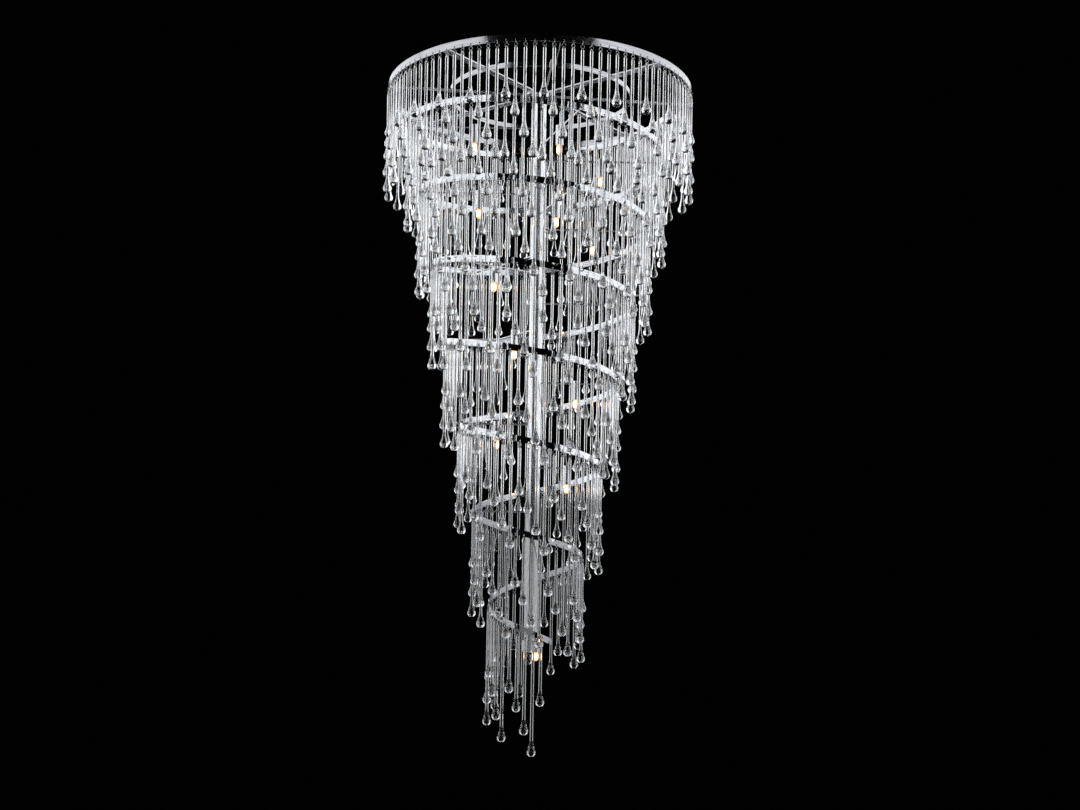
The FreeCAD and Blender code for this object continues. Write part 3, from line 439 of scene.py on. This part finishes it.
bulbs = bmesh.new()
stay_heights = []
for turns in lamp_turns:
    place = upright(spiral_radius(turns) * LAMP_PLACE, spiral_angle(turns),
                    spiral_height(turns) + STAY_ABOVE_BAND)
    for shape in (lathe(capsule, GLASS_AROUND, place), pinched_base(place)):
        lamp_mesh = bpy.data.meshes.new("capsule")
        shape.to_mesh(lamp_mesh)
        shape.free()
        stay_heights += [place.translation.z] * len(lamp_mesh.vertices)
        bulbs.from_mesh(lamp_mesh)
        bpy.data.meshes.remove(lamp_mesh)
bulb_mesh = smooth_mesh("capsule_bulbs", bulbs)
heat = []
for stay_height, vertex in zip(stay_heights, bulb_mesh.vertices):
    from_filament = abs(stay_height - vertex.co.z - FILAMENT_BELOW_STAY)
    heat.append(max(0.0, 1 - from_filament / GLOW_REACH))
heat_map = bulb_mesh.uv_layers.new(name="heat")
for loop, corner in zip(bulb_mesh.loops, heat_map.data):
    corner.uv = (heat[loop.vertex_index], 0.5)
bulb_glow, nodes, links, shader = new_finish("bulb_glow", Base_Color=(0.9, 0.8, 0.66, 1),
                                             Roughness=0.2)
heat_place = nodes.new("ShaderNodeUVMap")
heat_place.uv_map = "heat"
warmth = nodes.new("ShaderNodeSeparateXYZ")
links.new(heat_place.outputs["UV"], warmth.inputs["Vector"])
links.new(shades(nodes, links, warmth.outputs["X"], (1.0, 0.36, 0.10), (1.0, 0.72, 0.42)),
          shader.inputs["Emission Color"])
links.new(between(nodes, links, warmth.outputs["X"], low=0.05, high=4.5, start=0.0, end=0.9),
          shader.inputs["Emission Strength"])
bulb_piece = add_piece("capsule_bulbs", bulb_mesh, bulb_glow)
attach(bulb_piece, "bulbs")
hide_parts("lamp_bulbs")

# Wire rings: two linked rings of round plated wire under each hole. The first goes through the
# strip, the second through the drop, and both are bent, cut and closed by hand.
WIRE_RADIUS = 0.00055
UPPER_LINK, LOWER_LINK = 0.0030, 0.0042
WIRE_IN_HOLE = 0.00115
LINKS_LENGTH = WIRE_IN_HOLE + 2 * (UPPER_LINK + LOWER_LINK) - 2 * WIRE_RADIUS
WIRE_STEPS, WIRE_AROUND, COPIES_SMOOTH_UP_TO = 16, 6, 40
CUT_BEARING, HALF_CUT = 60, 0.04
LARGEST_TWIST, TWIST_STEP = 16, 137.5
RING_DROPS, RING_HOOK_RADIUS, RING_HOOK_HEIGHT = 112, 0.399, -0.0134
HOOK_PITCH, FIRST_HOOK = 0.0224, 0.018
BAND_TURNS = 6.83
HOOK_BELOW_BAND = 0.0044


def hook_place(number, radius, angle, height):
    """A hook hole's place, turned by the small twist of its own wire rings."""
    twist = math.radians(LARGEST_TWIST) * math.sin(math.radians(TWIST_STEP * number))
    return upright(radius, angle, height) @ Matrix.Rotation(twist, 4, "Z")


ring_hooks = [hook_place(number, RING_HOOK_RADIUS, 2 * math.pi * (number + 0.5) / RING_DROPS,
                         RING_HOOK_HEIGHT)
              for number in range(RING_DROPS)]
hook_turns = []
turns = FIRST_HOOK / (2 * math.pi * spiral_radius(0))
while turns < BAND_TURNS - HOOK_PITCH / 2 / (2 * math.pi * spiral_radius(BAND_TURNS)):
    hook_turns.append(turns)
    fall = STEP_DOWN + 2 * STEP_DOWN_GROWTH * turns
    turns += HOOK_PITCH / math.hypot(2 * math.pi * spiral_radius(turns), fall)
band_hooks = [hook_place(number, spiral_radius(turns), spiral_angle(turns),
                         spiral_height(turns) - HOOK_BELOW_BAND)
              for number, turns in enumerate(hook_turns)]


def wire_link(radius, centre, turned):
    """One open ring of wire in an upright plane, its centre under the hook's own."""
    points, faces = [], []
    for step in range(WIRE_STEPS + 1):
        bent = (2 * math.pi - 2 * HALF_CUT) * step / WIRE_STEPS
        angle = math.radians(CUT_BEARING) + HALF_CUT + bent
        for side in range(WIRE_AROUND):
            out = radius + WIRE_RADIUS * math.cos(2 * math.pi * side / WIRE_AROUND)
            aside = WIRE_RADIUS * math.sin(2 * math.pi * side / WIRE_AROUND)
            place = Vector((out * math.cos(angle), aside, out * math.sin(angle) + centre))
            points.append(turned @ place)
    for step in range(WIRE_STEPS):
        for side in range(WIRE_AROUND):
            here = step * WIRE_AROUND + side
            beside = step * WIRE_AROUND + (side + 1) % WIRE_AROUND
            faces.append((here, beside, beside + WIRE_AROUND, here + WIRE_AROUND))
    last = WIRE_STEPS * WIRE_AROUND
    faces.append(tuple(range(WIRE_AROUND)))
    faces.append(tuple(range(last + WIRE_AROUND - 1, last - 1, -1)))
    return points, faces


def repeated(name, patterns, places):
    """One mesh of many copies, a pattern being points, faces and maybe the faces' materials."""
    points, faces, kinds = [], [], []
    for pattern, place in zip(patterns, places):
        first = len(points)
        points.extend(place @ point for point in pattern[0])
        faces.extend(tuple(first + corner for corner in face) for face in pattern[1])
        kinds.extend(pattern[2] if len(pattern) > 2 else [0] * len(pattern[1]))
    mesh = bpy.data.meshes.new(name)
    mesh.from_pydata(points, [], faces)
    mesh.polygons.foreach_set("material_index", kinds)
    mesh.polygons.foreach_set("use_smooth", [True] * len(faces))
    mesh.set_sharp_from_angle(angle=math.radians(COPIES_SMOOTH_UP_TO))
    return mesh


across = Matrix.Rotation(math.radians(90), 4, "Z")
upper_link = wire_link(UPPER_LINK, -WIRE_IN_HOLE - UPPER_LINK, Matrix.Identity(4))
lower_link = wire_link(LOWER_LINK, LOWER_LINK - LINKS_LENGTH, across)
wire_nickel, nodes, links, shader = new_finish("wire_nickel", Metallic=1.0)
links.new(shades(nodes, links, grain(nodes, links, scale=500), (0.46, 0.46, 0.47), (0.62, 0.62, 0.63)),
          shader.inputs["Base Color"])
links.new(between(nodes, links, grain(nodes, links, scale=700, detail=3), low=0.15, high=0.3),
          shader.inputs["Roughness"])
for name, node, hooks in (("ring_jump_rings", "outer_wire_rings", ring_hooks),
                          ("band_jump_rings", "spiral_wire_rings", band_hooks)):
    pairs = [upper_link] * len(hooks) + [lower_link] * len(hooks)
    rings = add_piece(name, repeated(name, pairs, hooks + hooks), wire_nickel)
    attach(rings, "frame")
    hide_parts(node)

# Glass drops: rods of clear crystal drawn from the furnace, whose end gathers into a ball.
# The head is rounded, ground flat on two sides and drilled for the wire ring.
HOLE_RADIUS = 0.0015
DROP_BELOW_HOOK = LINKS_LENGTH + HOLE_RADIUS - WIRE_RADIUS
DROP_LENGTHS = (0.112, 0.152, 0.202, 0.249)
TAIL_EXTRA = 0.036
HEAD_RADIUS, NECK_RADIUS, TAIL_NECK_RADIUS = 0.0037, 0.0033, 0.0041
BALLS = (0.0115, 0.0110, 0.0117, 0.0113)
HEAD_TOP, HEAD_SHOULDER, FLARE = 0.0027, -0.0010, 0.038
FLAT_HALF, FLAT_FOOT = 0.0021, -0.0038
FLAT_SLACK, FLAT_FACING = 0.0001, 0.99
STONE_SIZE = (0.01, 0.03, 0.02)
DRILL_SPARE, DRILL_AROUND = 0.002, 16
HEAD_BENDS = (0, 25, 50, 70, 90)
NECK_SHARES = (0.06, 0.35, 0.68, 1.0)
FLARE_STEPS, BALL_STEPS = 8, 10


def drop_outline(length, ball, neck):
    """Radius and height pairs from the head's top down to the bottom of the ball."""
    head_round = HEAD_TOP - HEAD_SHOULDER
    bends = [math.radians(angle) for angle in HEAD_BENDS]
    pairs = [(HEAD_RADIUS * math.sin(bend), HEAD_SHOULDER + head_round * math.cos(bend))
             for bend in bends]
    neck_height = FLARE - length
    for share in NECK_SHARES:
        pairs.append((HEAD_RADIUS + (neck - HEAD_RADIUS) * share,
                      HEAD_SHOULDER + (neck_height - HEAD_SHOULDER) * share))
    flare_radius = (FLARE ** 2 / (ball - neck) - ball - neck) / 2
    meeting = math.atan2(FLARE, neck + flare_radius)
    for step in range(1, FLARE_STEPS + 1):
        angle = math.pi + meeting * step / FLARE_STEPS
        pairs.append((neck + flare_radius * (1 + math.cos(angle)),
                      neck_height + flare_radius * math.sin(angle)))
    for step in range(1, BALL_STEPS):
        angle = meeting - (meeting + math.pi / 2) * step / BALL_STEPS
        pairs.append((ball * math.cos(angle), -length + ball * math.sin(angle)))
    pairs.append((0, -length - ball))
    return pairs


def drop_pattern(length, ball, neck):
    """The drop with its head ground and drilled, as points, faces and material numbers."""
    shape = lathe(drop_outline(length, ball, neck), GLASS_AROUND)
    body = bpy.data.objects.new("drop", smooth_mesh("drop", shape))
    cutters = bmesh.new()
    for side in (-1, 1):
        stone = Matrix.Translation((side * (FLAT_HALF + STONE_SIZE[0] / 2), 0,
                                    FLAT_FOOT + STONE_SIZE[2] / 2))
        bmesh.ops.create_cube(cutters, size=1, matrix=stone @ Matrix.Diagonal((*STONE_SIZE, 1)))
    bmesh.ops.create_cone(cutters, cap_ends=True, segments=DRILL_AROUND,
                          radius1=HOLE_RADIUS, radius2=HOLE_RADIUS,
                          depth=2 * FLAT_HALF + DRILL_SPARE,
                          matrix=Matrix.Rotation(math.radians(90), 4, "Y"))
    tool_mesh = bpy.data.meshes.new("cutters")
    cutters.to_mesh(tool_mesh)
    cutters.free()
    tool = bpy.data.objects.new("cutters", tool_mesh)
    for item in (body, tool):
        scene.collection.objects.link(item)
    grinding = body.modifiers.new("grinding", "BOOLEAN")
    grinding.operation = "DIFFERENCE"
    grinding.solver = "EXACT"
    grinding.use_self = True
    grinding.object = tool
    graph = bpy.context.evaluated_depsgraph_get()
    made = bpy.data.meshes.new_from_object(body.evaluated_get(graph))
    points = [vertex.co.copy() for vertex in made.vertices]
    faces = [tuple(face.vertices) for face in made.polygons]
    kinds = [1 if face.center.z > FLAT_FOOT - FLAT_SLACK and abs(face.normal.x) > FLAT_FACING else 0
             for face in made.polygons]
    for item in (body, tool):
        bpy.data.objects.remove(item)
    return points, faces, kinds


CRYSTAL_IOR = 1.52
crystal, nodes, links, shader = new_finish("crystal", Base_Color=(0.965, 0.98, 1.0, 1),
                                           Roughness=0.0, IOR=CRYSTAL_IOR, Transmission_Weight=1.0)
relief(nodes, links, shader, grain(nodes, links, scale=45, detail=1, stretch=(1, 1, 0.25)),
       depth=0.0006, strength=0.02)
ground_glass, nodes, links, shader = new_finish("ground_glass", Base_Color=(0.95, 0.96, 0.97, 1),
                                                IOR=CRYSTAL_IOR, Transmission_Weight=1.0)
links.new(between(nodes, links, grain(nodes, links, scale=2000, detail=2), low=0.35, high=0.6),
          shader.inputs["Roughness"])

drop_kinds = [drop_pattern(length, ball, NECK_RADIUS)
              for length, ball in zip(DROP_LENGTHS, BALLS)]
tail_kinds = [drop_pattern(length + TAIL_EXTRA, ball, TAIL_NECK_RADIUS)
              for length, ball in zip(DROP_LENGTHS, BALLS)]
below_hook = Matrix.Translation((0, 0, -DROP_BELOW_HOOK)) @ across


def hang_drops(name, node, body, patterns, places):
    """Hangs one group of drops on its wire rings."""
    mesh = repeated(name, patterns, [place @ below_hook for place in places])
    drops = add_piece(name, mesh, crystal)
    mesh.materials.append(ground_glass)
    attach(drops, body)
    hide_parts(node)


SECTION_DROPS = 8
for section in range(1, RING_DROPS // SECTION_DROPS + 1):
    numbers = range(SECTION_DROPS * (section - 1), SECTION_DROPS * section)
    hang_drops("ring_drops_%02d" % section, "outer_drops_%02d" % section, "drops_%02d" % section,
               [drop_kinds[number % len(drop_kinds)] for number in numbers],
               [ring_hooks[number] for number in numbers])

JOINT_PAST_TURN = 0.25
band_ends = [0.0]
for joint in range(1, BAND_LENGTHS):
    before = max(turns for turns in hook_turns if turns <= joint + JOINT_PAST_TURN)
    after = min(turns for turns in hook_turns if turns > joint + JOINT_PAST_TURN)
    band_ends.append((before + after) / 2)
band_ends.append(BAND_TURNS)
for number, (start, end) in enumerate(zip(band_ends, band_ends[1:]), start=1):
    numbers = [index for index, turns in enumerate(hook_turns) if start < turns < end]
    kinds = tail_kinds if number == BAND_LENGTHS else drop_kinds
    hang_drops("band_drops_%d" % number, "spiral_drops_turn_%d" % number, "frame",
               [kinds[index % len(kinds)] for index in numbers],
               [band_hooks[index] for index in numbers])
